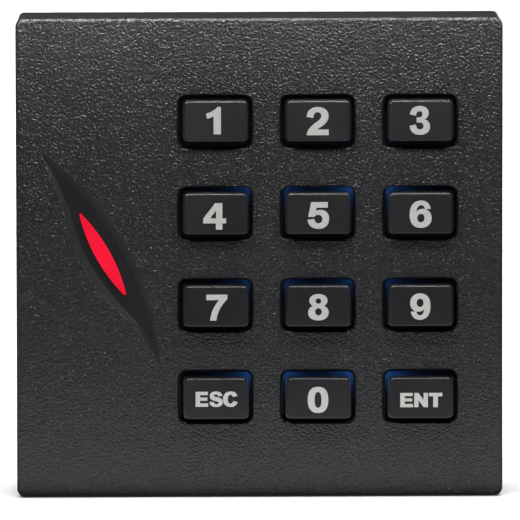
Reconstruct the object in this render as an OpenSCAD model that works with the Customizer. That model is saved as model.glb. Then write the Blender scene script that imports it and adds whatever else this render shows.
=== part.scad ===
// Keypad access reader: a square wall unit with twelve keys, a proximity antenna and a red
// indicator. The wall is the plane Y = 0, the keys face -Y and +Z is up. All sizes in mm.

/* [Case] */
// Width and height of the square front shell
case_size = 86; // [84:0.5:90]
// Distance from the wall to the front face
face_depth = 15; // [15:0.1:18]
// Distance from the wall to the back rim of the front shell
shell_back = 4.5; // [4.2:0.1:5]
// Thickness of the front plate
plate_thick = 1.9; // [1.6:0.1:2.2]
// Thickness of the side walls
wall_thick = 2.4; // [2:0.1:3]
// Corner radius at the front; it shrinks by the draft towards the back
corner_r = 1.6; // [1:0.1:3]
// Rounding of the front edge
edge_r = 0.6; // [0.3:0.1:0.9]
// How far each side leans in from front to back
draft = 0.7; // [0:0.05:0.8]

/* [Keys] */
// Distance between key columns
pitch_x = 18.1; // [17.5:0.1:18.5]
// Distance between rows of key openings
pitch_z = 16.43; // [16:0.01:17]
// Distance between rows of key caps, a little more than that of their openings
cap_pitch_z = 16.6; // [16:0.05:17]
// Sideways position of the middle of the key grid
grid_x = 10.3; // [9.5:0.1:10.5]
// Upward position of the middle of the key grid
grid_z = -0.25; // [-1:0.05:1]
// How far the keys sit to the right in their openings
cap_side = 0.1; // [0:0.05:0.3]
// Width of a key opening, inside its rounded lip
opening_w = 13; // [12.6:0.1:13.4]
// Height of a key opening, inside its rounded lip
opening_h = 9.4; // [8.8:0.1:9.6]
// Corner radius of a key opening
opening_r = 1.4; // [1:0.1:2]
// Rounding of the lip of a key opening
lip_r = 0.45; // [0.2:0.05:0.5]
// Width of a key cap
cap_w = 11; // [10:0.1:11.4]
// Height of a key cap
cap_h = 7.3; // [6.5:0.1:7.6]
// Corner radius of a key cap
cap_r = 0.7; // [0.5:0.1:1.2]
// Rounding of the cap's front edge
cap_edge = 0.35; // [0.1:0.05:0.45]
// How far a key stands out of the front face
key_proud = 1; // [0.6:0.1:1.4]
// How far a key can be pressed
key_travel = 1; // [0.6:0.1:1]

/* [Indicator] */
// Length of the lens
lens_len = 16.3; // [14:0.1:17]
// Width of the lens at its middle
lens_w = 2.55; // [2:0.05:3.2]
// Lean of the lens from upright, in degrees
lens_lean = 28.7; // [26:0.1:31]
// Depth of the hollow at the middle of the lens
hollow_deep = 0.55; // [0.45:0.05:0.6]
// Tilt of the hollow's floor, deeper to the lower left, in degrees
hollow_tilt = 3.4; // [2:0.1:4]

/* [Back] */
// Outer size of the skirt behind the front shell
skirt_size = 80.6; // [79:0.1:82]
// Size of the wall plate
plate_size = 76.4; // [75:0.1:76.6]
// Thickness of the steel wall plate
steel = 1.2; // [1:0.1:1.2]
// Distance between the two wall screws
screw_pitch = 60; // [60:0.5:61]
// End to end length of a slotted hole
slot_len = 8; // [6:0.5:10]
// Width of a slotted hole
slot_w = 4.4; // [4.2:0.1:5]
// Radius of the cable hole through the grommet
cable_r = 3; // [2.5:0.1:3.5]

/* [Hidden] */
$fn = 48;

plate_back = face_depth - plate_thick;           // back of the front plate
flange_t = 0.8;                                  // key flange
dome_top = plate_back - flange_t;                // top of the silicone domes
dome_roof = 0.8;
sheet_t = 0.7;
board_front = plate_back - 3.4;
board_t = 1.2;
board_back = board_front - board_t;
pad_t = 0.1;
pill_r = 1.7;
pill_face = board_front + pad_t + key_travel + 0.05;
cover_in = 5.4;                                  // inner face of the rear cover
cover_out = 3.6;                                 // outer face of the rear cover
seal_t = 0.8;
cavity = case_size - 2 * wall_thick;
step_size = cavity + 1.8;
boss_xz = 36;
posts = [[-30, 30], [-30, -30], [grid_x + pitch_x / 2, 32.6], [grid_x + pitch_x / 2, -32.7]];
lens_x = -27.7;
lens_z = 0.6;
band_slope = 2.2;                                // run of the hollow's lower left wall per mm of depth
floor_r = 480;                                   // the hollow's floor curves up toward both points
led_drop = 1.2;                                  // back-light LEDs sit a little below the key crossings
eps = 0.01;

// ---- frame helpers: local X is right, local Y is up, local Z is the distance from the wall
module face_on() { rotate([90, 0, 0]) children(); }
module up_from(d) { translate([0, 0, d]) children(); }
function col_x(c) = grid_x + (c - 1) * pitch_x;
module at_key(c, r) { translate([col_x(c) + cap_side, grid_z + (1.5 - r) * cap_pitch_z, 0]) children(); }
module at_opening(c, r) { translate([col_x(c), grid_z + (1.5 - r) * pitch_z, 0]) children(); }
module each_opening() { for (c = [0:2]) for (r = [0:3]) at_opening(c, r) children(); }
module at_leds() {
    for (c = [0.5, 1.5]) for (r = [0.5, 1.5, 2.5]) at_opening(c, r) translate([0, -led_drop, 0]) children();
}
module each_key() { for (c = [0:2]) for (r = [0:3]) at_key(c, r) children(); }
module corners(p) { for (a = [-1, 1]) for (b = [-1, 1]) translate([a * p, b * p, 0]) children(); }

module rrect(w, h, r) {
    square([w - 2 * r, h], center = true);
    square([w, h - 2 * r], center = true);
    for (a = [-1, 1]) for (b = [-1, 1]) translate([a * (w / 2 - r), b * (h / 2 - r)]) circle(r);
}
module slab(w, h, r, d0, d1) { up_from(d0) linear_extrude(d1 - d0) rrect(w, h, r); }

// half profile of a wall whose top outer edge is rounded and whose foot leans in
module soft_profile(w, t, f, lean) {
    polygon([[0, 0], [w - lean, 0], [w, t - f], [0, t - f]]);
    square([w - f, t]);
    translate([w - f, t - f]) circle(f);
}
// block with rounded corners, a rounded front edge and sides that lean in towards the back
module soft_block(w, h, t, r, f, lean = 0) {
    for (a = [-1, 1]) for (b = [-1, 1])
        translate([a * (w / 2 - r), b * (h / 2 - r), 0]) rotate_extrude() soft_profile(r, t, f, lean);
    rotate([90, 0, 90]) translate([0, 0, r - w / 2]) linear_extrude(w - 2 * r)
        for (m = [0, 1]) mirror([m, 0]) soft_profile(h / 2, t, f, lean);
    rotate([90, 0, 0]) translate([0, 0, r - h / 2]) linear_extrude(h - 2 * r)
        for (m = [0, 1]) mirror([m, 0]) soft_profile(w / 2, t, f, lean);
}

// lens outline: two arcs that would meet in points, with the points cut off, leaning to the left
module lens_shape(l, w) {
    pointed = l * 1.08;
    big = (pointed * pointed + w * w) / (4 * w);
    translate([lens_x, lens_z]) rotate(lens_lean) intersection() {
        translate([big - w / 2, 0]) circle(big, $fn = 240);
        translate([w / 2 - big, 0]) circle(big, $fn = 240);
        square([w + 1, l], center = true);
    }
}

// cone with radius r at the front face that changes by slope for every mm into the plate
module wall_cone(r, slope, fn) {
    up_from(face_depth - 2) cylinder(r1 = r - 2 * slope, r2 = r + 2 * slope, h = 4, $fn = fn);
}
// leaf-shaped hollow round the indicator: four arcs with sloping walls and a dished floor
module leaf_hollow() {
    intersection() {
        translate([-69.05, -22.65]) wall_cone(51.75, 3, 240);
        difference() {
            union() {
                translate([0.45, 16.12]) wall_cone(36.3, band_slope, 240);
                up_from(face_depth - 2) linear_extrude(4) {
                    polygon([[-43, 2.65], [-36.3, 2.65], [-23.86, 6.34], [-23.86, 25], [-43, 25]]);
                    polygon([[-26.14, -12.82], [-18.78, -4.65], [-5, -10], [-5, -25], [-30, -25]]);
                }
            }
            translate([-101.8, -11.67]) wall_cone(70, -band_slope, 240);
            translate([-39.92, -28.67]) wall_cone(24.1, -band_slope, 120);
        }
        translate([lens_x, lens_z, face_depth - hollow_deep]) rotate([0, 0, lens_lean])
            rotate([0, -hollow_tilt, 0]) translate([0, 0, floor_r]) rotate([0, 90, 0])
                cylinder(r = floor_r, h = 80, center = true, $fn = 720);
    }
}

// profile that rounds the lip of an opening: its bulge stands 0.02 over the face for a clean cut
module lip_profile(r, f) {
    square([r, 1]);
    difference() {
        translate([0, -f]) square([r + f, 1 + f]);
        translate([r + f, 0.02 - f]) circle(f);
        translate([r, -f - 1]) square([f + 1, 1]);
    }
}
module lip_cut(w, h, r, f) {
    for (a = [-1, 1]) for (b = [-1, 1])
        translate([a * (w / 2 - r), b * (h / 2 - r), 0]) rotate_extrude() lip_profile(r, f);
    rotate([90, 0, 90]) translate([0, 0, r - w / 2]) linear_extrude(w - 2 * r)
        for (m = [0, 1]) mirror([m, 0]) lip_profile(h / 2, f);
    rotate([90, 0, 0]) translate([0, 0, r - h / 2]) linear_extrude(h - 2 * r)
        for (m = [0, 1]) mirror([m, 0]) lip_profile(w / 2, f);
}

// small parts on the board: a flat body with leads on two or four sides
module chip(w, h, t, pins, pitch, four = false) {
    up_from(0.15) linear_extrude(t - 0.15) square([w, h], center = true);
    for (s = [-1, 1]) for (i = [0 : pins - 1]) {
        p = (i - (pins - 1) / 2) * pitch;
        translate([p, s * (h / 2 + 0.4), 0.1]) cube([pitch * 0.45, 1.2, 0.2], center = true);
        translate([p, s * (h / 2 + 0.1), t / 4 + 0.1]) cube([pitch * 0.45, 0.6, t / 2], center = true);
        if (four) {
            translate([s * (w / 2 + 0.4), p, 0.1]) cube([1.2, pitch * 0.45, 0.2], center = true);
            translate([s * (w / 2 + 0.1), p, t / 4 + 0.1]) cube([0.6, pitch * 0.45, t / 2], center = true);
        }
    }
}
// places a part on the back of the board, its top pointing at the wall
module on_back(x, z) { translate([x, z, board_back]) mirror([0, 0, 1]) children(); }
module brick(w, h, t) { up_from(t / 2) cube([w, h, t], center = true); }

// ---- front shell
module front_housing() color([0.05, 0.05, 0.055]) face_on() {
    difference() {
        union() {
            difference() {
                up_from(shell_back)
                    soft_block(case_size, case_size, face_depth - shell_back, corner_r, edge_r, draft);
                slab(cavity, cavity, 1, shell_back - 1, plate_back);
                slab(step_size, step_size, 1.4, shell_back - 1, cover_in + seal_t);
            }
            corners(boss_xz) up_from(cover_in) cylinder(r = 2.8, h = plate_back - cover_in + eps);
            corners(boss_xz) up_from(board_front + 0.3) linear_extrude(plate_back - board_front - 0.3 + eps) {
                square([0.8, 9.3], center = true);
                square([9.3, 0.8], center = true);
            }
            for (p = posts) translate([p[0], p[1], board_front])
                cylinder(r = 1.7, h = plate_back - board_front + eps);
        }
        corners(boss_xz) up_from(cover_in - 1) cylinder(r = 1.25, h = 7);
        for (p = posts) translate([p[0], p[1], board_front - 1]) cylinder(r = 0.8, h = 3.9);
        each_opening() slab(opening_w, opening_h, opening_r, plate_back - 1, face_depth + 1);
        each_opening() up_from(face_depth) lip_cut(opening_w, opening_h, opening_r, lip_r);
        leaf_hollow();
        up_from(plate_back - 1) linear_extrude(plate_thick + 2) lens_shape(lens_len + 0.5, lens_w + 0.16);
    }
}
module indicator_lens() color([0.9, 0.05, 0.12]) face_on() {
    up_from(plate_back - 2.2) linear_extrude(face_depth - 0.32 - plate_back + 2.2)
        lens_shape(lens_len, lens_w);
    up_from(plate_back - 1) linear_extrude(1) lens_shape(lens_len + 4, lens_w + 2.2);
}

// ---- keys: a cap and a flange that stops behind the front plate
module key_cap(c, r) color([0.035, 0.035, 0.04]) face_on() at_key(c, r) {
    up_from(dome_top) soft_block(cap_w, cap_h, face_depth + key_proud - dome_top, cap_r, cap_edge);
    slab(opening_w + 2, opening_h + 2, 1.6, dome_top, plate_back);
}
module pill(c, r) color([0.08, 0.08, 0.08]) face_on() at_key(c, r)
    up_from(pill_face) cylinder(r = pill_r, h = dome_top - dome_roof - pill_face);
module key_1() { key_cap(0, 0); }
module key_2() { key_cap(1, 0); }
module key_3() { key_cap(2, 0); }
module key_4() { key_cap(0, 1); }
module key_5() { key_cap(1, 1); }
module key_6() { key_cap(2, 1); }
module key_7() { key_cap(0, 2); }
module key_8() { key_cap(1, 2); }
module key_9() { key_cap(2, 2); }
module key_esc() { key_cap(0, 3); }
module key_0() { key_cap(1, 3); }
module key_ent() { key_cap(2, 3); }
module pill_1() { pill(0, 0); }
module pill_2() { pill(1, 0); }
module pill_3() { pill(2, 0); }
module pill_4() { pill(0, 1); }
module pill_5() { pill(1, 1); }
module pill_6() { pill(2, 1); }
module pill_7() { pill(0, 2); }
module pill_8() { pill(1, 2); }
module pill_9() { pill(2, 2); }
module pill_esc() { pill(0, 3); }
module pill_0() { pill(1, 3); }
module pill_ent() { pill(2, 3); }

// one silicone sheet with a collapsible dome under every key
module keypad_mat() color([0.75, 0.78, 0.8]) face_on() difference() {
    union() {
        translate([grid_x - 0.3, 0, 0]) slab(53.4, 60.4, 2, board_front, board_front + sheet_t);
        each_key() up_from(board_front + sheet_t - eps)
            cylinder(r1 = 3.5, r2 = 2.4, h = dome_top - board_front - sheet_t + eps);
    }
    each_key() up_from(board_front - 1) cylinder(r = 2.7, h = 1 + sheet_t);
    each_key() up_from(board_front + sheet_t - eps)
        cylinder(r1 = 2.7, r2 = 1.9, h = dome_top - dome_roof - board_front - sheet_t + eps);
    at_leds() slab(2.4, 1.8, 0.3, board_front - 1, board_front + 2);
}

// ---- circuit board and what is on it
module main_board() color([0.03, 0.22, 0.12]) face_on() difference() {
    slab(76, 76, 1, board_back, board_front);
    corners(boss_xz) up_from(board_back - 1) cylinder(r = 3.6, h = 4);
    for (p = posts) translate([p[0], p[1], board_back - 1]) cylinder(r = 1.1, h = 4);
    for (i = [-3.5:3.5]) translate([i * 1.25 - 24, 20, board_back - 1]) cylinder(r = 0.3, h = 4, $fn = 16);
}
module contact_pads() color([0.85, 0.65, 0.25]) face_on() each_key()
    up_from(board_front) linear_extrude(pad_t) difference() {
        circle(2.2, $fn = 32);
        square([0.5, 6], center = true);
    }
module backlight_leds() color([0.25, 0.45, 0.95]) face_on()
    at_leds() up_from(board_front) brick(1.6, 0.8, 0.8);
module status_leds() color([0.95, 0.4, 0.35]) face_on()
    for (s = [-1:1]) translate([lens_x, lens_z, board_front]) rotate(lens_lean)
        translate([0, 4.6 * s, 0]) brick(1.25, 2, 0.8);
module antenna_coil() color([0.72, 0.4, 0.18]) face_on() difference() {
    slab(73.2, 73.2, 10.6, board_back - 1.6, board_back);
    slab(69.2, 69.2, 8.6, board_back - 3, board_back + 1);
}
module mcu_chip() color([0.06, 0.06, 0.06]) face_on() on_back(16, 14) chip(7, 7, 1.4, 12, 0.5, true);
module radio_chip() color([0.07, 0.07, 0.07]) face_on() on_back(-14, -16) chip(8.7, 3.9, 1.5, 7, 1.1);
module interface_chip() color([0.07, 0.07, 0.075]) face_on() on_back(-9, 21) chip(4.9, 3.9, 1.5, 4, 1.1);
module voltage_regulator() color([0.08, 0.08, 0.08]) face_on() on_back(-24, 3) {
    brick(6.5, 3.5, 1.6);
    translate([0, 2.4, 0]) brick(3, 1.6, 0.3);
    for (i = [-1:1]) translate([i * 2.3, -2.4, 0]) brick(0.7, 1.6, 0.3);
}
module crystal() color([0.75, 0.76, 0.78]) face_on() on_back(27, 14) {
    linear_extrude(0.35) rrect(5, 3.2, 0.2);
    linear_extrude(1.1) rrect(4.5, 2.7, 0.5);
}
module capacitors() color([0.6, 0.45, 0.3]) face_on()
    for (p = [[9, 21], [12, 23], [23, 19], [8, 8], [-20, -8], [-14, -9], [-8, -9], [-22, -20], [-24, 11],
              [-31, 3], [-2, 21], [4, -14]]) on_back(p[0], p[1]) brick(1.25, 2, 0.9);
module resistors() color([0.1, 0.1, 0.12]) face_on()
    for (p = [[20, 4], [22.5, 4], [25, 4], [5, 21], [-8, -20], [-5, -16], [0, -14],
              [-18, 12], [-13, 13], [10, -22], [13, -22], [16, -22], [19, -22], [22, -22]])
        on_back(p[0], p[1]) brick(0.8, 1.6, 0.45);
module protection_diode() color([0.09, 0.09, 0.09]) face_on() on_back(-30, 13) {
    up_from(0.2) brick(2.6, 4.3, 1.8);
    brick(1.4, 5.2, 0.4);
}
module buzzer() color([0.05, 0.05, 0.05]) face_on() translate([-27, -19.5, board_front]) difference() {
    union() {
        brick(8.5, 8.5, 1.2);
        cylinder(r = 4.2, h = 2.7);
    }
    up_from(2) cylinder(r = 0.8, h = 2);
}
module cable_header() color([0.9, 0.88, 0.8]) face_on() on_back(-24, 20) difference() {
    brick(12.4, 4.2, 2.6);
    up_from(0.8) brick(11.2, 3, 3);
    for (i = [-3.5:3.5]) translate([i * 1.25, 0, -1]) cylinder(r = 0.3, h = 3, $fn = 16);
}
module header_pins() color([0.85, 0.8, 0.6]) face_on()
    for (i = [-3.5:3.5]) translate([i * 1.25 - 24, 20, board_back - 2.2])
        cylinder(r = 0.3, h = 2.2 + board_t + 0.5, $fn = 16);
module board_screws() color([0.7, 0.7, 0.72]) face_on() for (p = posts) translate([p[0], p[1], 0])
    difference() {
        union() {
            up_from(board_back - 1) cylinder(r = 1.7, h = 1);
            up_from(board_back - eps) cylinder(r = 0.8, h = board_t + 2.8);
        }
        up_from(board_back - 1.5) {
            brick(2, 0.4, 1.1);
            brick(0.4, 2, 1.1);
        }
    }

// ---- back: cover with a skirt, seal, screws, cable grommet and wall plate
module seal_ring() color([0.12, 0.12, 0.12]) face_on() difference() {
    slab(cavity + 1.3, cavity + 1.3, 1.2, cover_in, cover_in + seal_t);
    slab(cavity + 0.1, cavity + 0.1, 0.9, cover_in - 1, cover_in + 3);
}
module rear_cover() color([0.05, 0.05, 0.055]) face_on() difference() {
    union() {
        slab(cavity + 1.4, cavity + 1.4, 1.2, cover_out, cover_in);
        difference() {
            slab(skirt_size, skirt_size, 2.2, 0.3, cover_out + eps);
            slab(skirt_size - 3.2, skirt_size - 3.2, 1.2, -1, cover_out);
        }
        translate([-4, -skirt_size / 2 + 1, 0.3]) cube([8, 3.1, cover_out - 0.3 + eps]);
    }
    corners(boss_xz) up_from(cover_out - 1) cylinder(r = 2.2, h = 2.1);
    corners(boss_xz) up_from(cover_out) cylinder(r = 1.4, h = 3);
    up_from(cover_out - 1) cylinder(r = cable_r + 2, h = 4);
    for (s = [-1, 1]) translate([s * 22 - 5.5, skirt_size / 2 - 2.6, 0.9]) cube([11, 4, 2]);
    translate([0, -skirt_size / 2 - 1, 1.95]) rotate([-90, 0, 0]) cylinder(r = 1.25, h = 8);
}
module cover_screws() color([0.7, 0.7, 0.72]) face_on() corners(boss_xz) difference() {
    union() {
        up_from(cover_out + 0.1) cylinder(r = 2, h = 1);
        up_from(cover_out + 1) cylinder(r = 1.25, h = 6.4);
    }
    up_from(cover_out - 0.4) {
        brick(2.4, 0.5, 1.1);
        brick(0.5, 2.4, 1.1);
    }
}
module cable_grommet() color([0.1, 0.1, 0.1]) face_on() rotate_extrude()
    polygon([[cable_r, 2.4], [cable_r + 3.3, 2.4], [cable_r + 3.6, 2.7], [cable_r + 3.6, cover_out],
             [cable_r + 2, cover_out], [cable_r + 2, cover_in], [cable_r + 3.2, cover_in],
             [cable_r + 2.7, cover_in + 1], [cable_r, cover_in + 1]]);
module wall_plate() color([0.72, 0.73, 0.75]) face_on() difference() {
    union() {
        slab(plate_size, plate_size, 2, 0, steel);
        for (s = [-1, 1]) translate([s * 22, 0, 0]) {
            translate([-4.5, 34.8, 0]) cube([9, 1.2, 1.3 + steel]);
            translate([-4.5, 34.8, 1.3]) cube([9, 5.2, steel]);
        }
        translate([-4, -35.9, 0]) cube([8, 1.2, 3.4]);
    }
    for (s = [-1, 1]) {
        translate([s * screw_pitch / 2, 0, -1]) linear_extrude(4) {
            square([slot_len - slot_w, slot_w], center = true);
            for (e = [-1, 1]) translate([e * (slot_len - slot_w) / 2, 0]) circle(slot_w / 2);
        }
        translate([s * 22 - 4.9, 36, -1]) cube([9.8, 10, 2.3]);
    }
    up_from(-1) linear_extrude(4) rrect(34, 34, 5);
    translate([-4.6, -plate_size / 2 - 1, -1]) cube([9.2, plate_size / 2 - 34.9, 5]);
    translate([-4, -34.7, -1]) cube([8, 3.4, 5]);
    translate([0, -40, 1.95]) rotate([-90, 0, 0]) cylinder(r = 1.25, h = 8);
}
module lock_screw() color([0.2, 0.2, 0.21]) face_on() translate([0, -skirt_size / 2 + 0.4, 1.95])
    rotate([-90, 0, 0]) difference() {
        cylinder(r = 1.25, h = 6);
        up_from(-1) cylinder(r = 0.75, h = 2.4, $fn = 6);
    }

front_housing();
indicator_lens();
key_1();
key_2();
key_3();
key_4();
key_5();
key_6();
key_7();
key_8();
key_9();
key_esc();
key_0();
key_ent();
pill_1();
pill_2();
pill_3();
pill_4();
pill_5();
pill_6();
pill_7();
pill_8();
pill_9();
pill_esc();
pill_0();
pill_ent();
keypad_mat();
main_board();
contact_pads();
backlight_leds();
status_leds();
antenna_coil();
mcu_chip();
radio_chip();
interface_chip();
voltage_regulator();
crystal();
capacitors();
resistors();
protection_diode();
buzzer();
cable_header();
header_pins();
board_screws();
seal_ring();
rear_cover();
cover_screws();
cable_grommet();
wall_plate();
lock_screw();
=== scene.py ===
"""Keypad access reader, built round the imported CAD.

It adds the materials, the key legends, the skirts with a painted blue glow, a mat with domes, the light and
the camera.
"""

import math
import re

import bmesh
import bpy
from mathutils import Matrix, Vector


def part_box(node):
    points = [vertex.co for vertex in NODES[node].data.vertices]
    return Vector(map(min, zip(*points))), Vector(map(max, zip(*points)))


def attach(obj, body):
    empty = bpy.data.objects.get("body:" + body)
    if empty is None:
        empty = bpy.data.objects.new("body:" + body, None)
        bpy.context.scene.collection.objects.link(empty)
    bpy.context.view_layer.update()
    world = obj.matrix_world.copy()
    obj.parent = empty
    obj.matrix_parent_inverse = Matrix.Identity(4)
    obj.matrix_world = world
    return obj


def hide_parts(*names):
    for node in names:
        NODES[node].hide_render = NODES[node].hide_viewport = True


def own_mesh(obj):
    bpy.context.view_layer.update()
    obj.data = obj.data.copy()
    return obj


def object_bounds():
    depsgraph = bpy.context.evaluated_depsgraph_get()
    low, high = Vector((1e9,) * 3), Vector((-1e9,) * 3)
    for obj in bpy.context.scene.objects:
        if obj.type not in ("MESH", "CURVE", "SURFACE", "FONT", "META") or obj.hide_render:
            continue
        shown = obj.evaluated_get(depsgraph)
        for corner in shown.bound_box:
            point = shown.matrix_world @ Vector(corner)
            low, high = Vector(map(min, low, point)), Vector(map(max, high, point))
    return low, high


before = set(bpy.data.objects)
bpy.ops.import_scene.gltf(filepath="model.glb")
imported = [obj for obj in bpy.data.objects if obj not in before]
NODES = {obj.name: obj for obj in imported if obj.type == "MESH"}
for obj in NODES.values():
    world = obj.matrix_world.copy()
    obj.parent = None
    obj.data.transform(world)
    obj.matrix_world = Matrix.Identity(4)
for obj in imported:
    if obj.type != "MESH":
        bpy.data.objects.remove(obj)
CAD_LOW, CAD_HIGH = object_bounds()
MM = 0.001

# ---------------------------------------------------------------- places taken from the frame
KEYS = ["1", "2", "3", "4", "5", "6", "7", "8", "9", "esc", "0", "ent"]
KEY_BOX = {k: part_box("key_" + k) for k in KEYS}
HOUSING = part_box("front_housing")
FACE_Y = HOUSING[0].y                        # front face
KEY_FACE_Y = KEY_BOX["5"][0].y               # front of the key caps
FLOOR_Z = CAD_LOW.z


def middle(box):
    return (box[0] + box[1]) / 2


# ---------------------------------------------------------------- node materials
MIX_A, MIX_B, MIX_RESULT = 6, 7, 2           # the colour sockets of a Mix node, which share their names


class Nodes:
    """A short way to write a node tree: every call adds one node and returns its output socket."""

    def __init__(self, name):
        self.material = bpy.data.materials.new(name)
        self.material.use_nodes = True
        self.tree = self.material.node_tree
        self.shader = self.tree.nodes["Principled BSDF"]
        self.coords = self.tree.nodes.new("ShaderNodeTexCoord").outputs["Object"]

    def link(self, source, socket):
        self.tree.links.new(source, socket)

    def feed(self, socket, value):
        """Links a socket to another one, or sets it to a constant."""
        if isinstance(value, bpy.types.NodeSocket):
            self.link(value, socket)
        else:
            socket.default_value = value

    def scaled(self, x, y, z):
        node = self.tree.nodes.new("ShaderNodeMapping")
        self.link(self.coords, node.inputs["Vector"])
        node.inputs["Scale"].default_value = (x, y, z)
        return node.outputs["Vector"]

    def noise(self, size, detail=2.0, distortion=0.0, rough=0.5, vector=None):
        node = self.tree.nodes.new("ShaderNodeTexNoise")
        self.link(vector or self.coords, node.inputs["Vector"])
        node.inputs["Scale"].default_value = 1.0 / size
        node.inputs["Detail"].default_value = detail
        node.inputs["Roughness"].default_value = rough
        node.inputs["Distortion"].default_value = distortion
        return node.outputs["Fac"]

    def cells(self, size, feature="SMOOTH_F1"):
        node = self.tree.nodes.new("ShaderNodeTexVoronoi")
        node.feature = feature
        self.link(self.coords, node.inputs["Vector"])
        node.inputs["Scale"].default_value = 1.0 / size
        return node.outputs["Distance"]

    def wave(self, size, axis, distortion=0.0):
        node = self.tree.nodes.new("ShaderNodeTexWave")
        node.bands_direction = axis
        self.link(self.coords, node.inputs["Vector"])
        node.inputs["Scale"].default_value = 1.0 / size
        node.inputs["Distortion"].default_value = distortion
        return node.outputs["Fac"]

    def math(self, operation, a, b=0.0):
        node = self.tree.nodes.new("ShaderNodeMath")
        node.operation = operation
        self.feed(node.inputs[0], a)
        self.feed(node.inputs[1], b)
        return node.outputs[0]

    def remap(self, value, from_low, from_high, to_low, to_high):
        node = self.tree.nodes.new("ShaderNodeMapRange")
        for socket, v in zip(node.inputs, (value, from_low, from_high, to_low, to_high)):
            self.feed(socket, v)
        return node.outputs["Result"]

    def mix(self, factor, a, b):
        """A colour between the colours a and b."""
        node = self.tree.nodes.new("ShaderNodeMix")
        node.data_type = "RGBA"
        self.feed(node.inputs["Factor"], factor)
        self.feed(node.inputs[MIX_A], (*a, 1))
        self.feed(node.inputs[MIX_B], (*b, 1))
        return node.outputs[MIX_RESULT]

    def axes(self):
        node = self.tree.nodes.new("ShaderNodeSeparateXYZ")
        self.link(self.coords, node.inputs[0])
        return node.outputs

    def distance(self, vector, point):
        """How far a vector is from a fixed point."""
        node = self.tree.nodes.new("ShaderNodeVectorMath")
        node.operation = "DISTANCE"
        self.link(vector, node.inputs[0])
        node.inputs[1].default_value = point
        return node.outputs["Value"]

    def bump(self, height, depth, strength=1.0):
        node = self.tree.nodes.new("ShaderNodeBump")
        node.inputs["Distance"].default_value = depth
        self.feed(node.inputs["Strength"], strength)
        self.link(height, node.inputs["Height"])
        self.link(node.outputs["Normal"], self.shader.inputs["Normal"])

    def set(self, **sockets):
        """Sets or links sockets of the shader, named as in base_color=..."""
        for name, value in sockets.items():
            self.feed(self.shader.inputs[name.replace("_", " ").title().replace("Ior", "IOR")], value)


def finish_material(name, low, high, mottle, rough, bump_size, bump_depth, **extra):
    """A surface whose colour and roughness drift over mottle metres, with a fine bump."""
    m = Nodes(name)
    drift = m.noise(mottle, detail=3)
    fine = m.noise(bump_size, detail=2)
    m.set(base_color=m.mix(m.remap(drift, 0.3, 0.7, 0, 1), low, high),
          roughness=m.remap(drift, 0.3, 0.7, rough[0], rough[1]), **extra)
    m.bump(fine, bump_depth)
    return m.material


COOL_GLOSS = (0.94, 0.96, 1.0, 1)            # the black plastic mirrors the white room slightly blue
CREASE = 0.43 * MM                           # size of the creases of the case's grain
PIT = 0.38 * MM                              # size of the pits among them
PIT_SHARE = 0.35                             # depth of a pit beside that of a crease
GRAIN_DEPTH = 0.26 * MM
# The darker black goes into the sunk creases of the grain and the paler onto the raised ones: painted
# shade.
CASE_BLACK = (0.0016, 0.0016, 0.0018), (0.0032, 0.0032, 0.0035)
CASE_ROUGH = 0.40, 0.44
CASE_SPECULAR = 0.34
SMOOTH_GRAIN = 0.12                          # strength of the grain in the hollow and on the lips
SMOOTH_ROUGHER = 0.07                        # how much rougher they are
SMOOTH_SPECULAR = 0.29
SMOOTH_FROM = FACE_Y + 0.015 * MM            # they start where the surface sinks below the face
SMOOTH_FULL = FACE_Y + 0.06 * MM
HOUSING_EDGE = 1.5 * MM                      # the rounded rim of the housing keeps its grain


def case_material(name, smooth_hollow):
    """Black ABS with a moulded grain. The hollow and the lips of the key openings are left smooth."""
    m = Nodes(name)
    creases = m.noise(CREASE, detail=2, distortion=0.5, rough=0.55)
    height = m.math("ADD", creases, m.math("MULTIPLY", m.cells(PIT), PIT_SHARE))
    drift = m.noise(30 * MM, detail=2)
    # The colour follows the height of the creases, so the sunk ones carry painted shade.
    m.set(base_color=m.mix(m.remap(creases, 0.35, 0.7, 0, 1), *CASE_BLACK))
    rough = m.remap(drift, 0.3, 0.7, *CASE_ROUGH)
    strength = 1.0
    specular = CASE_SPECULAR
    if smooth_hollow:
        x, y, z = m.axes()
        rim = HOUSING[1].x - HOUSING_EDGE
        sunk = m.remap(y, SMOOTH_FROM, SMOOTH_FULL, 0, 1)
        inside_x = m.math("LESS_THAN", m.math("ABSOLUTE", x), rim)
        inside_z = m.math("LESS_THAN", m.math("ABSOLUTE", z), rim)
        smooth = m.math("MULTIPLY", m.math("MULTIPLY", sunk, inside_x), inside_z)
        strength = m.remap(smooth, 0, 1, strength, SMOOTH_GRAIN)
        rough = m.math("ADD", rough, m.math("MULTIPLY", smooth, SMOOTH_ROUGHER))
        specular = m.remap(smooth, 0, 1, specular, SMOOTH_SPECULAR)
    m.set(roughness=rough, specular_ior_level=specular, specular_tint=COOL_GLOSS)
    m.bump(height, GRAIN_DEPTH, strength)
    return m.material


def key_material():
    m = Nodes("key_cap_plastic")
    drift = m.remap(m.noise(9 * MM, detail=2), 0.35, 0.65, 0, 1)
    m.set(base_color=m.mix(drift, (0.0050, 0.0050, 0.0055), (0.0075, 0.0075, 0.0080)),
          roughness=m.remap(drift, 0, 1, 0.50, 0.55),
          specular_ior_level=0.25, specular_tint=COOL_GLOSS)
    m.bump(m.noise(0.16 * MM, detail=2), 0.004 * MM)
    return m.material


GLOW_REACH = 1.6 * MM                        # the glow fades by two thirds over this length
GLOW_SQUASH = 1.6                            # and faster up and down than sideways
GLOW_BLUE = (0.04, 0.20, 0.72, 1)
CLOUD = 0.75, 1.2                            # uneven silicone: the glow's least and greatest share


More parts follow.
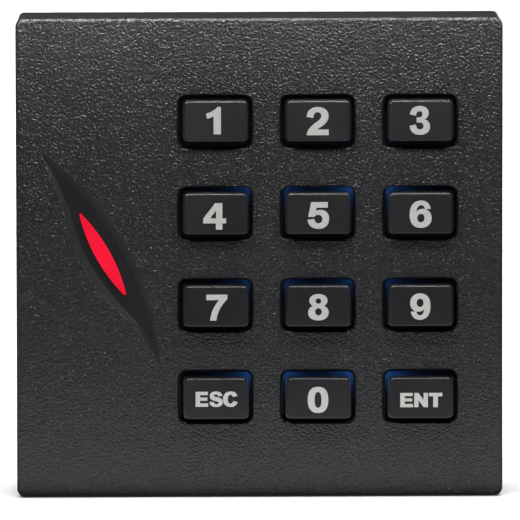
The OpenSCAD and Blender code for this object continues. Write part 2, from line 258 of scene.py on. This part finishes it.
def painted_glow_skirt_material(leds):
    """Translucent silicone round a key, with a painted blue glow that stands for the board's LEDs and dims
    away from them.
    """
    m = Nodes("silicone_skirt_painted_glow")
    squashed = m.scaled(1, 1, GLOW_SQUASH)
    total = 0.0
    for (x, y, z), power in leds:
        distance = m.distance(squashed, (x, y, z * GLOW_SQUASH))
        fade = m.math("EXPONENT", m.math("MULTIPLY", distance, -1 / GLOW_REACH))
        total = m.math("ADD", total, m.math("MULTIPLY", fade, power))
    cloud = m.remap(m.noise(1.6 * MM, detail=2), 0.3, 0.7, *CLOUD)
    # The emission is a painted glow: the skirt is no lamp, and it glows as if the LEDs lit it blue.
    m.set(base_color=m.mix(m.remap(cloud, *CLOUD, 0, 1), (0.006, 0.007, 0.010), (0.010, 0.012, 0.018)),
          roughness=0.4, emission_color=GLOW_BLUE, emission_strength=m.math("MULTIPLY", total, cloud))
    return m.material


def ink_material():
    m = Nodes("legend_ink")
    speck = m.noise(0.22 * MM, detail=3)
    m.set(base_color=m.mix(m.remap(speck, 0.35, 0.65, 0, 1), (0.50, 0.50, 0.475), (0.62, 0.62, 0.595)),
          roughness=0.6)
    m.bump(speck, 0.006 * MM)
    return m.material


LENS_REACH = 8.25 * MM                       # from the middle of the lens to its tips
LENS_TIP_LIGHT = 0.8                         # painted glow at the tips beside that of the middle
LENS_RED = (0.79, 0.006, 0.035, 1)


def painted_glow_lens_material(centre):
    """Milky red lens with a painted red glow, brightest in its middle."""
    m = Nodes("indicator_lens_painted_glow")
    fade = m.remap(m.distance(m.coords, centre), 0, LENS_REACH, 1.0, LENS_TIP_LIGHT)
    cloud = m.remap(m.noise(1.2 * MM), 0.3, 0.7, 0.96, 1.04)
    m.set(base_color=m.mix(cloud, (0.20, 0.002, 0.006), (0.24, 0.003, 0.008)),
          roughness=0.35, specular_ior_level=0.06,
          emission_color=LENS_RED, emission_strength=m.math("MULTIPLY", fade, cloud))
    return m.material


def steel_material(name, low, high, rough, streak_axis):
    """Zinc plated or brushed steel: streaks along one axis, spangle over it."""
    m = Nodes(name)
    stretch = [1, 1, 1]
    stretch[streak_axis] = 0.03
    streaks = m.noise(0.25 * MM, detail=4, vector=m.scaled(*stretch))
    spangle = m.cells(3.5 * MM, "F1")
    m.set(base_color=m.mix(m.remap(spangle, 0.1, 0.8, 0, 1), low, high), metallic=1.0,
          roughness=m.remap(streaks, 0.3, 0.7, rough[0], rough[1]))
    m.bump(streaks, 0.004 * MM)
    return m.material


def board_material():
    """Green solder mask with the copper pour and tracks showing through it."""
    m = Nodes("solder_mask_green")
    tracks = m.remap(m.wave(1.4 * MM, "DIAGONAL", 6.0), 0.45, 0.55, 0, 1)
    patches = m.remap(m.cells(9 * MM, "F1"), 0.30, 0.36, 0, 1)
    under = m.math("MULTIPLY", tracks, patches)
    m.set(base_color=m.mix(under, (0.008, 0.075, 0.030), (0.020, 0.145, 0.060)), roughness=0.3)
    m.bump(under, 0.02 * MM)
    return m.material


def coil_material():
    m = Nodes("enamelled_copper_turns")
    turns = m.wave(0.55 * MM, "Y")
    # The grooves between the turns are painted darker than their crests: painted shade.
    m.set(base_color=m.mix(turns, (0.28, 0.09, 0.03), (0.72, 0.30, 0.12)), metallic=0.8,
          roughness=m.remap(turns, 0, 1, 0.45, 0.25))
    m.bump(turns, 0.08 * MM)
    return m.material


def paint(nodes, material):
    for node in nodes:
        for slot in NODES[node].material_slots:
            slot.material = material


LED_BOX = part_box("backlight_leds")
LED_Y = KEY_FACE_Y + 2.6 * MM                # the glow starts this deep behind the key faces
LED_INSET = 0.8 * MM                         # from the side of the LEDs' box to the middle of an LED
LED_DROP = 1.0 * MM                          # the glow is seen this far below each LED
COLUMNS = (LED_BOX[0].x + LED_INSET, LED_BOX[1].x - LED_INSET)
ROWS = (LED_BOX[1].z, middle(LED_BOX).z, LED_BOX[0].z)
# The LEDs below are the centres and strengths of the painted glow on the skirts, not lamps.
POWERS = ((2.2, 3.8), (1.3, 1.6), (3.0, 3.8))      # of the LED in each row and column, from the photo
LEDS = []
for row_z, row_powers in zip(ROWS, POWERS):
    for column_x, power in zip(COLUMNS, row_powers):
        LEDS.append(((column_x, LED_Y, row_z - LED_DROP), power))

paint(["front_housing"], case_material("case_abs_grain", True))
paint(["rear_cover"], case_material("cover_abs_grain", False))
paint(["key_" + k for k in KEYS], key_material())
SILICONE = finish_material("translucent_silicone", (0.45, 0.50, 0.56), (0.58, 0.63, 0.68), 6 * MM,
                           (0.45, 0.6), 0.3 * MM, 0.01 * MM, subsurface_weight=0.3)
paint(["keypad_mat"], SILICONE)
paint(["main_board"], board_material())
paint(["antenna_coil"], coil_material())
paint(["indicator_lens"], painted_glow_lens_material(tuple(middle(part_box("indicator_lens")))))

CHIPS = ["mcu_chip", "radio_chip", "interface_chip", "voltage_regulator", "protection_diode"]
FINISHES = (   # nodes, material, darker and paler colour, size of the mottling in mm, roughness,
               # size and depth of the bump in mm, what else the shader needs
    (["pill_" + k for k in KEYS], "carbon_rubber",
     (0.01, 0.01, 0.01), (0.02, 0.02, 0.02), 1, (0.7, 0.85), 0.1, 0.01, {}),
    (["contact_pads"], "gold_plate",
     (0.75, 0.48, 0.14), (0.9, 0.62, 0.25), 1, (0.25, 0.4), 0.05, 0.003, {"metallic": 1.0}),
    (["backlight_leds"], "blue_led_resin",
     (0.10, 0.20, 0.75), (0.18, 0.3, 0.95), 0.5, (0.2, 0.35), 0.1, 0.004, {}),
    (["status_leds"], "red_led_resin",
     (0.75, 0.08, 0.05), (0.95, 0.15, 0.1), 0.5, (0.2, 0.35), 0.1, 0.004, {}),
    (CHIPS, "chip_epoxy",
     (0.012, 0.012, 0.013), (0.03, 0.03, 0.032), 2, (0.45, 0.65), 0.08, 0.01, {}),
    (["capacitors"], "ceramic_body",
     (0.30, 0.20, 0.11), (0.42, 0.30, 0.18), 1, (0.4, 0.6), 0.1, 0.01, {}),
    (["resistors"], "resistor_glaze",
     (0.012, 0.012, 0.015), (0.03, 0.03, 0.035), 0.8, (0.2, 0.4), 0.1, 0.006, {}),
    (["buzzer"], "buzzer_plastic",
     (0.012, 0.012, 0.012), (0.025, 0.025, 0.025), 3, (0.35, 0.5), 0.15, 0.01, {}),
    (["cable_header"], "natural_nylon",
     (0.62, 0.58, 0.45), (0.75, 0.71, 0.58), 3, (0.4, 0.55), 0.2, 0.01, {"subsurface_weight": 0.1}),
    (["seal_ring", "cable_grommet"], "black_rubber",
     (0.010, 0.010, 0.010), (0.024, 0.024, 0.024), 4, (0.6, 0.8), 0.12, 0.02, {}),
)
for painted, material, darker, paler, mottle, rough, bump_size, bump_depth, extra in FINISHES:
    paint(painted, finish_material(material, darker, paler, mottle * MM, rough,
                                   bump_size * MM, bump_depth * MM, **extra))

STEELS = (   # nodes, material, darker and paler colour, roughness, axis of the streaks (0 for X, 1 for Y)
    (["crystal"], "crystal_can", (0.6, 0.6, 0.58), (0.75, 0.75, 0.73), (0.2, 0.35), 0),
    (["header_pins"], "tinned_pins", (0.6, 0.58, 0.5), (0.8, 0.77, 0.68), (0.25, 0.4), 1),
    (["board_screws", "cover_screws"], "zinc_screws",
     (0.45, 0.46, 0.47), (0.66, 0.66, 0.66), (0.25, 0.42), 1),
    (["wall_plate"], "zinc_sheet", (0.47, 0.48, 0.50), (0.54, 0.55, 0.56), (0.32, 0.48), 0),
    (["lock_screw"], "black_oxide", (0.02, 0.02, 0.022), (0.05, 0.05, 0.055), (0.35, 0.5), 0),
)
for painted, *steel in STEELS:
    paint(painted, steel_material(*steel))

# ---------------------------------------------------------------- key legends
# Outlines in mm round the middle of each figure: M move, L line, C curve, Z close.
FIGURES = {
    "0": "M 0,2.5 C 1.35,2.5 1.87,1.5 1.87,0 C 1.87,-1.5 1.35,-2.5 0,-2.5 "
         "C -1.35,-2.5 -1.87,-1.5 -1.87,0 C -1.87,1.5 -1.35,2.5 0,2.5 Z M 0,1.5 "
         "C -0.45,1.5 -0.62,0.9 -0.62,0 C -0.62,-0.9 -0.45,-1.5 0,-1.5 "
         "C 0.45,-1.5 0.62,-0.9 0.62,0 C 0.62,0.9 0.45,1.5 0,1.5 Z",
    "1": "M 0.7,2.5 L 1.33,2.5 L 1.33,-2.5 L 0.03,-2.5 L 0.03,0.85 "
         "C -0.3,0.6 -0.65,0.45 -1.1,0.33 L -1.3,1.25 C -0.4,1.55 0.3,1.95 0.7,2.5 Z",
    "2": "M -2,0.78 C -1.95,1.95 -1.15,2.55 0.05,2.55 C 1.25,2.55 1.98,1.85 1.98,0.95 "
         "C 1.98,0.2 1.6,-0.35 0.85,-0.85 C 0.45,-1.12 0.1,-1.3 -0.15,-1.48 L 2,-1.48 L 2,-2.5 "
         "L -2,-2.5 C -1.95,-1.7 -1.5,-1.05 -0.5,-0.35 C 0.35,0.25 0.68,0.5 0.68,0.95 "
         "C 0.68,1.35 0.4,1.62 -0.02,1.62 C -0.5,1.62 -0.75,1.3 -0.8,0.6 Z",
    "3": "M -1.83,1.05 C -1.7,2.1 -1.0,2.57 0,2.57 C 1.1,2.57 1.6,1.95 1.6,1.3 "
         "C 1.6,0.75 1.3,0.38 0.85,0.18 C 1.5,0 1.85,-0.5 1.85,-1.12 C 1.85,-2 1.15,-2.57 0,-2.57 "
         "C -1.15,-2.57 -1.8,-1.95 -1.87,-0.93 L -0.72,-0.75 C -0.66,-1.35 -0.4,-1.6 0,-1.6 "
         "C 0.42,-1.6 0.66,-1.35 0.66,-0.98 C 0.66,-0.6 0.4,-0.38 -0.05,-0.38 L -0.6,-0.38 "
         "L -0.6,0.52 L -0.12,0.52 C 0.25,0.52 0.45,0.75 0.45,1.08 "
         "C 0.45,1.42 0.28,1.62 -0.05,1.62 C -0.42,1.62 -0.62,1.4 -0.7,0.85 Z",
    "4": "M 0.1,2.5 L 1.4,2.5 L 1.4,-0.38 L 2.08,-0.38 L 2.08,-1.32 L 1.4,-1.32 L 1.4,-2.5 "
         "L 0.22,-2.5 L 0.22,-1.32 L -2.08,-1.32 L -2.08,-0.42 Z M 0.26,1.1 L -0.84,-0.38 "
         "L 0.26,-0.38 Z",
    "5": "M -1.25,2.47 L 1.75,2.47 L 1.75,1.42 L -0.3,1.42 L -0.42,0.8 "
         "C -0.15,0.96 0.15,1.03 0.45,1.03 C 1.35,1.03 1.98,0.4 1.98,-0.62 "
         "C 1.98,-1.8 1.25,-2.53 0.05,-2.53 C -1.1,-2.53 -1.8,-1.85 -1.92,-0.82 L -0.7,-0.66 "
         "C -0.6,-1.2 -0.38,-1.5 0.02,-1.5 C 0.45,-1.5 0.76,-1.2 0.76,-0.68 "
         "C 0.76,-0.2 0.45,0.1 0.03,0.1 C -0.27,0.1 -0.5,0 -0.7,-0.28 L -1.8,-0.3 Z",
    "6": "M 1.85,1 C 1.65,2.05 1.0,2.57 0.1,2.57 C -1.2,2.57 -1.98,1.6 -1.98,-0.05 "
         "C -1.98,-1.75 -1.25,-2.57 0.05,-2.57 C 1.2,-2.57 1.98,-1.8 1.98,-0.72 "
         "C 1.98,0.35 1.3,1 0.38,1 C -0.1,1 -0.5,0.82 -0.75,0.45 C -0.68,1.3 -0.4,1.68 0.12,1.68 "
         "C 0.48,1.68 0.68,1.45 0.78,0.9 Z M 0.05,0.06 C -0.38,0.06 -0.62,-0.26 -0.62,-0.72 "
         "C -0.62,-1.18 -0.38,-1.52 0.05,-1.52 C 0.46,-1.52 0.7,-1.18 0.7,-0.72 "
         "C 0.7,-0.26 0.46,0.06 0.05,0.06 Z",
    "7": "M -1.92,2.42 L 1.92,2.42 L 1.92,1.6 C 0.75,0.4 0.05,-1.0 -0.1,-2.42 L -1.24,-2.42 "
         "C -1.1,-1.0 -0.55,0.3 0.42,1.4 L -1.92,1.4 Z",
    "8": "M 0,2.57 C 1.0,2.57 1.62,2.02 1.62,1.3 C 1.62,0.85 1.38,0.48 1.0,0.25 "
         "C 1.55,0 1.85,-0.45 1.85,-1.02 C 1.85,-1.95 1.15,-2.57 0,-2.57 "
         "C -1.15,-2.57 -1.85,-1.95 -1.85,-1.02 C -1.85,-0.45 -1.55,0 -1.0,0.25 "
         "C -1.38,0.48 -1.62,0.85 -1.62,1.3 C -1.62,2.02 -1.0,2.57 0,2.57 Z M 0,1.72 "
         "C -0.3,1.72 -0.5,1.5 -0.5,1.2 C -0.5,0.9 -0.3,0.68 0,0.68 C 0.3,0.68 0.5,0.9 0.5,1.2 "
         "C 0.5,1.5 0.3,1.72 0,1.72 Z M 0,-0.2 C -0.36,-0.2 -0.6,-0.48 -0.6,-0.88 "
         "C -0.6,-1.28 -0.36,-1.58 0,-1.58 C 0.36,-1.58 0.6,-1.28 0.6,-0.88 "
         "C 0.6,-0.48 0.36,-0.2 0,-0.2 Z",
    "E": "M -1.1,1.35 L 1.1,1.35 L 1.1,0.75 L -0.3,0.75 L -0.3,0.32 L 1.0,0.32 L 1.0,-0.25 "
         "L -0.3,-0.25 L -0.3,-0.73 L 1.15,-0.73 L 1.15,-1.35 L -1.1,-1.35 Z",
    "S": "M -1.2,-0.45 L -0.42,-0.5 C -0.4,-0.75 -0.2,-0.88 0.05,-0.88 "
         "C 0.3,-0.88 0.45,-0.78 0.45,-0.62 C 0.45,-0.46 0.3,-0.4 -0.1,-0.32 "
         "C -0.85,-0.17 -1.12,0.12 -1.12,0.58 C -1.12,1.1 -0.7,1.4 0,1.4 "
         "C 0.7,1.4 1.08,1.12 1.14,0.58 L 0.38,0.53 C 0.34,0.78 0.2,0.88 -0.02,0.88 "
         "C -0.24,0.88 -0.36,0.79 -0.36,0.66 C -0.36,0.53 -0.24,0.48 0.1,0.41 "
         "C 0.9,0.25 1.22,-0.02 1.22,-0.53 C 1.22,-1.08 0.78,-1.4 0.02,-1.4 "
         "C -0.75,-1.4 -1.17,-1.05 -1.2,-0.45 Z",
    "C": "M 0.5,-0.3 L 1.3,-0.5 C 1.15,-1.1 0.72,-1.4 0.05,-1.4 C -0.8,-1.4 -1.3,-0.85 -1.3,0 "
         "C -1.3,0.85 -0.8,1.4 0.05,1.4 C 0.72,1.4 1.1,1.12 1.27,0.6 L 0.48,0.38 "
         "C 0.4,0.65 0.28,0.78 0.05,0.78 C -0.28,0.78 -0.45,0.5 -0.45,0 "
         "C -0.45,-0.52 -0.28,-0.8 0.03,-0.8 C 0.28,-0.8 0.43,-0.62 0.5,-0.3 Z",
    "N": "M -1.2,1.35 L -0.45,1.35 L 0.45,0.02 L 0.45,1.35 L 1.2,1.35 L 1.2,-1.35 L 0.45,-1.35 "
         "L -0.45,-0.02 L -0.45,-1.35 L -1.2,-1.35 Z",
    "T": "M -1.17,1.35 L 1.17,1.35 L 1.17,0.7 L 0.4,0.7 L 0.4,-1.35 L -0.42,-1.35 L -0.42,0.7 "
         "L -1.17,0.7 Z",
}
INK = 0.03 * MM                              # thickness of the printed ink
INK_SUNK = 0.2 * INK                         # how far the middle of the ink lies below the cap's face
LETTER_STEP = 2.55                           # mm from letter to letter in ESC and ENT
CURVE_STEPS = 8
SAME_POINT = 1e-6                            # mm: points of an outline closer than this are one
SAME_VERTEX = 1e-7                           # metres: so are vertices of a mesh
# How each legend is printed on its cap: mm to the right, mm up, then its width and height
# beside those of the outline.
PRINT = {
    "1": (-0.41, 0.17, 1.00, 0.98),
    "2": (-0.10, 0.00, 0.97, 1.00),
    "3": (-0.16, 0.09, 0.97, 1.01),
    "4": (-0.22, -0.38, 0.97, 0.95),
    "5": (-0.04, -0.26, 0.98, 0.96),
    "6": (-0.03, -0.12, 0.98, 0.955),
    "7": (0.14, -0.16, 0.965, 0.965),
    "8": (0.00, -0.16, 0.985, 0.925),
    "9": (-0.085, -0.11, 0.91, 0.925),
    "esc": (-0.04, -0.04, 0.99, 1.00),
    "0": (-0.09, -0.22, 0.98, 0.945),
    "ent": (0.05, -0.32, 1.01, 0.955),
}


def turned(path):
    """The same outline turned half round, which makes a nine out of a six."""
    return re.sub(r"-?\d+\.?\d*", lambda n: "%g" % -float(n.group()), path)


FIGURES["9"] = turned(FIGURES["6"])


def outline_loops(path):
    """The closed loops of an outline, with every curve cut into steps."""
    loops, here = [], None
    for letter, numbers in re.findall(r"([MLCZ])([^MLCZ]*)", path):
        v = [float(n) for n in re.findall(r"-?\d+\.?\d*", numbers)]
        points = [Vector(v[i:i + 2]) for i in range(0, len(v), 2)]
        if letter == "M":
            loops.append([points[0]])
        elif letter == "L":
            loops[-1].append(points[0])
        elif letter == "C":
            a, (b, c, d) = here, points
            for i in range(1, CURVE_STEPS + 1):
                t = i / CURVE_STEPS
                s = 1 - t
                loops[-1].append(a * s ** 3 + 3 * b * s * s * t + 3 * c * s * t * t + d * t ** 3)
        if letter == "Z":
            if (loops[-1][0] - loops[-1][-1]).length < SAME_POINT:
                loops[-1].pop()
        else:
            here = points[-1]
    return loops


def finished(name, work, material):
    """Turns a bmesh into a named object with one material."""
    bmesh.ops.recalc_face_normals(work, faces=work.faces)
    mesh = bpy.data.meshes.new(name)
    work.to_mesh(mesh)
    work.free()
    mesh.materials.append(material)
    piece = bpy.data.objects.new(name, mesh)
    bpy.context.scene.collection.objects.link(piece)
    return piece


def flat_piece(name, loops, thick, place, material):
    """A closed flat piece in the plane of the face, filled between its loops of points in metres."""
    curve = bpy.data.curves.new(name, "CURVE")
    curve.dimensions = "2D"
    curve.fill_mode = "BOTH"
    curve.extrude = thick / 2
    for loop in loops:
        spline = curve.splines.new("POLY")
        spline.points.add(len(loop) - 1)
        for point, (x, z) in zip(spline.points, loop):
            point.co = (x, z, 0, 1)
        spline.use_cyclic_u = True
    flat = bpy.data.objects.new("outline_" + name, curve)
    bpy.context.scene.collection.objects.link(flat)
    mesh = bpy.data.meshes.new_from_object(flat.evaluated_get(bpy.context.evaluated_depsgraph_get()))
    bpy.data.objects.remove(flat)
    work = bmesh.new()
    work.from_mesh(mesh)
    bmesh.ops.remove_doubles(work, verts=work.verts, dist=SAME_VERTEX)
    upright = Matrix.Translation(place) @ Matrix.Rotation(math.radians(90), 4, "X")
    bmesh.ops.transform(work, verts=work.verts, matrix=upright)
    return finished(name, work, material)


def legend(key, figures):
    """Printed figures on a key cap, as one thin closed piece that rides on the key."""
    right, up, wide, tall = PRINT[key]
    loops = []
    for i, figure in enumerate(figures):
        offset = (i - (len(figures) - 1) / 2) * LETTER_STEP
        for loop in outline_loops(FIGURES[figure]):
            loops.append([(((p.x + offset) * wide + right) * MM, (p.y * tall + up) * MM) for p in loop])
    centre = middle(KEY_BOX[key])
    place = (centre.x, KEY_FACE_Y + INK_SUNK, centre.z)
    piece = flat_piece("legend_" + key, loops, INK, place, INK_MATERIAL)
    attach(piece, "button_" + key)


INK_MATERIAL = ink_material()
for k in KEYS:
    legend(k, k.upper())

# ---------------------------------------------------------------- skirts round the keys, with a painted blue glow
FULL_TURN = 2 * math.pi
CIRCLE_STEPS = 48
CORNER_STEPS = 6
CORNERS = ((1, 1, 0), (-1, 1, 90), (-1, -1, 180), (1, -1, 270))     # side, up or down, turned by
FLANGE_WIDER = 4.0 * MM                      # how much wider than its cap the key's flange is
FLANGE_TALLER = 4.1 * MM
FLANGE_THICK = 0.8 * MM
SKIRT_RINGS = (   # in mm: wider than the cap, taller than it, corner radius, in front of the flange
    (1.5, 1.4, 1.1, 0.02),
    (1.5, 1.4, 1.1, 0.25),
    (0.5, 0.5, 0.8, 1.1),
    (0.04, 0.04, 0.7, 1.2),
    (0.04, 0.04, 0.7, 0.02),
)


def circle(radius, centre):
    """Points of a circle in the plane of the face."""
    angles = [FULL_TURN * i / CIRCLE_STEPS for i in range(CIRCLE_STEPS)]
    return [(centre.x + radius * math.cos(a), centre.z + radius * math.sin(a)) for a in angles]


def rounded_box(w, h, r, centre):
    """Points of a rounded rectangle in the plane of the face."""
    points = []
    for side, up, turned_by in CORNERS:
        for i in range(CORNER_STEPS + 1):
            a = math.radians(turned_by + 90 * i / CORNER_STEPS)
            points.append((centre.x + side * (w / 2 - r) + r * math.cos(a),
                           centre.z + up * (h / 2 - r) + r * math.sin(a)))
    return points


def bridged_rings(work, levels):
    """A ring of vertices at each level (points, y), with faces from ring to ring."""
    rings = []
    for points, y in levels:
        rings.append([work.verts.new((x, y, z)) for x, z in points])
    for a, b in zip(rings, rings[1:]):
        bridge(work, a, b)
    return rings


def bridge(work, a, b):
    n = len(a)
    for i in range(n):
        work.faces.new((a[i], a[(i + 1) % n], b[(i + 1) % n], b[i]))


def skirt(key):
    """Closed sloping ring of silicone between a key cap and its opening."""
    low, high = KEY_BOX[key]
    centre = middle((low, high))
    cap_w = high.x - low.x - FLANGE_WIDER
    cap_h = high.z - low.z - FLANGE_TALLER
    flange_y = high.y - FLANGE_THICK
    levels = []
    for wider, taller, r, forward in SKIRT_RINGS:
        points = rounded_box(cap_w + wider * MM, cap_h + taller * MM, r * MM, centre)
        levels.append((points, flange_y - forward * MM))
    work = bmesh.new()
    rings = bridged_rings(work, levels)
    bridge(work, rings[-1], rings[0])
    piece = finished("key_skirt_" + key, work, SKIRT_PAINTED_GLOW)
    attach(piece, "button_" + key)


SKIRT_PAINTED_GLOW = painted_glow_skirt_material(LEDS)
for k in KEYS:
    skirt(k)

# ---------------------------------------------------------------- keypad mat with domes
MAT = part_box("keypad_mat")
SHEET = 0.7 * MM                             # thickness of the mat between its domes
SHEET_CORNER = 2 * MM
SHEET_Y = MAT[1].y - SHEET                   # front of the sheet, where the domes start
WINDOW_W, WINDOW_H, WINDOW_CORNER = 2.4 * MM, 1.8 * MM, 0.3 * MM
WINDOW_INSET = 0.4 * MM                      # an outer window's middle, from the edge of the LEDs' box
DOME_TOP_Y = MAT[0].y + 0.02 * MM
DOME_ROOF_Y = MAT[0].y + 0.8 * MM            # roof of the hollow in a dome
DOME_ROOF = 1.9 * MM                         # radii: of that roof,
DOME_HOLE = 2.7 * MM                         # of the hollow at the foot of the dome,
DOME_FOOT = 3.5 * MM                         # of the dome at its foot
DOME_TOP = 2.4 * MM                          # and at its top


def mat_sheet():
    """The flat part of the mat, with a hole under each dome and a window over each LED."""
    size = MAT[1] - MAT[0]
    loops = [rounded_box(size.x, size.z, SHEET_CORNER, middle(MAT))]
    loops += [circle(DOME_HOLE, middle(KEY_BOX[k])) for k in KEYS]
    for x in COLUMNS:
        for z in (LED_BOX[1].z - WINDOW_INSET, middle(LED_BOX).z, LED_BOX[0].z + WINDOW_INSET):
            loops.append(rounded_box(WINDOW_W, WINDOW_H, WINDOW_CORNER, Vector((x, 0, z))))
    sheet = flat_piece("mat_sheet", loops, SHEET, (0, MAT[1].y - SHEET / 2, 0), SILICONE)
    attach(sheet, "case")
    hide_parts("keypad_mat")


def dome(key):
    """The silicone dome behind a key, hollow below its roof."""
    centre = middle(KEY_BOX[key])
    profile = ((DOME_ROOF, DOME_ROOF_Y), (DOME_HOLE, SHEET_Y), (DOME_FOOT, SHEET_Y), (DOME_TOP, DOME_TOP_Y))
    work = bmesh.new()
    rings = bridged_rings(work, [(circle(radius, centre), y) for radius, y in profile])
    work.faces.new(rings[0])
    work.faces.new(rings[-1])
    piece = finished("dome_" + key, work, SILICONE)
    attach(piece, "case")
    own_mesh(piece)


mat_sheet()
for k in KEYS:
    dome(k)

# ---------------------------------------------------------------- floor, light and camera
FLOOR_HALF = 1.2                             # half the side of the floor, in metres
FLOOR_CELLS = 8


def stage_floor():
    """A white floor. It is lit and seen, but what shines is left to the lamps and the world below."""
    work = bmesh.new()
    bmesh.ops.create_grid(work, x_segments=FLOOR_CELLS, y_segments=FLOOR_CELLS, size=FLOOR_HALF)
    mesh = bpy.data.meshes.new("floor")
    work.to_mesh(mesh)
    work.free()
    floor = bpy.data.objects.new("floor", mesh)
    floor.location = (0, 0, FLOOR_Z - 0.05 * MM)
    bpy.context.scene.collection.objects.link(floor)
    m = Nodes("pale_floor")
    m.set(base_color=m.mix(m.noise(0.4), (0.86, 0.86, 0.86), (0.88, 0.88, 0.88)), roughness=0.9)
    mesh.materials.append(m.material)
    floor.visible_glossy = False


def softbox(name, place, target, size, watts, lit):
    """A rectangular lamp that adds to the colour of what it lights, or only to its gloss."""
    data = bpy.data.lights.new(name, "AREA")
    data.shape = "RECTANGLE"
    data.size, data.size_y = size
    data.energy = watts
    lamp = bpy.data.objects.new(name, data)
    lamp.location = place
    lamp.rotation_euler = (Vector(target) - Vector(place)).to_track_quat("-Z", "Y").to_euler()
    lamp.visible_camera = False
    lamp.visible_diffuse = lit != "gloss"
    lamp.visible_glossy = lit != "colour"
    bpy.context.scene.collection.objects.link(lamp)


stage_floor()
BEHIND, BEHIND_AIM, BEHIND_SIZE = (0, 0.22, 0.32), (0, 0.45, FLOOR_Z), (0.6, 0.2)
GLEAM_Z = FLOOR_Z + 0.5 * MM
LIGHTS = (   # name, place, aimed at, size (metres), watts, what it adds to
    ("rear_softbox", BEHIND, BEHIND_AIM, BEHIND_SIZE, 3.6, "colour"),
    ("high_softbox", (0, -0.5, 1.5), (0, -0.2, FLOOR_Z), (1.6, 1.2), 22.0, "colour"),
    ("top_strip", (0, -0.036, 0.070), (0, -0.036, FLOOR_Z), (0.16, 0.006), 0.48, "gloss"),
    ("rear_sheen", BEHIND, BEHIND_AIM, BEHIND_SIZE, 5.6, "gloss"),
    ("overhead", (0, -0.035, 0.157), (0, -0.035, FLOOR_Z), (0.25, 0.05), 0.13, "colour"),
    ("floor_wash", (0, -0.032, -0.036), (0, -0.032, FLOOR_Z), (0.25, 0.03), 0.012, "colour"),
    ("floor_gleam", (0, -0.035, GLEAM_Z), (0, -0.035, 1), (0.25, 0.036), 0.080, "gloss"),
    ("front_fill", (-0.3, -1.6, 0.42), (0, 0, 0), (1.2, 1.2), 1.5, "colour"),
)
for light in LIGHTS:
    softbox(*light)

WORLD = 0.03                                 # sky over the set
HORIZON = 0.32                               # pale surroundings below it
HORIZON_TOP, WORLD_FROM = 0.03, 0.08         # heights of a direction between which one turns into the other
world = bpy.data.worlds.new("studio")
world.use_nodes = True
sky = world.node_tree
direction = sky.nodes.new("ShaderNodeTexCoord").outputs["Generated"]
split = sky.nodes.new("ShaderNodeSeparateXYZ")
sky.links.new(direction, split.inputs[0])
ramp = sky.nodes.new("ShaderNodeMapRange")
sky.links.new(split.outputs["Z"], ramp.inputs["Value"])
ramp.inputs["From Min"].default_value = HORIZON_TOP
ramp.inputs["From Max"].default_value = WORLD_FROM
ramp.inputs["To Min"].default_value = HORIZON
ramp.inputs["To Max"].default_value = WORLD
sky.links.new(ramp.outputs["Result"], sky.nodes["Background"].inputs["Strength"])
sky.nodes["Background"].inputs["Color"].default_value = (1, 1, 1, 1)
bpy.context.scene.world = world
bpy.context.scene.view_settings.view_transform = "Standard"

AZIMUTH = math.radians(-0.72)
ELEVATION = math.radians(10.1)
ROLL = math.radians(-0.09)
DISTANCE = 3.0
FRAME_WIDTH = 91.92 * MM                     # width seen at the front face
SENSOR = 36                                  # mm
AIM_RIGHT, AIM_UP = 0.092 * MM, -0.357 * MM  # from the middle of the face to the middle of the picture
camera_data = bpy.data.cameras.new("camera")
camera_data.sensor_width = SENSOR
camera_data.lens = SENSOR * DISTANCE / FRAME_WIDTH
camera_data.clip_start = 0.1
camera_data.clip_end = 50
camera = bpy.data.objects.new("camera", camera_data)
back = Vector((math.sin(AZIMUTH) * math.cos(ELEVATION),
               -math.cos(AZIMUTH) * math.cos(ELEVATION),
               math.sin(ELEVATION)))
turn = (-back).to_track_quat("-Z", "Y").to_matrix() @ Matrix.Rotation(ROLL, 3, "Z")
aim = Vector((0, FACE_Y, 0)) + turn @ Vector((AIM_RIGHT, AIM_UP, 0))
camera.matrix_world = Matrix.Translation(aim + back * DISTANCE) @ turn.to_4x4()
bpy.context.scene.collection.objects.link(camera)
bpy.context.scene.camera = camera
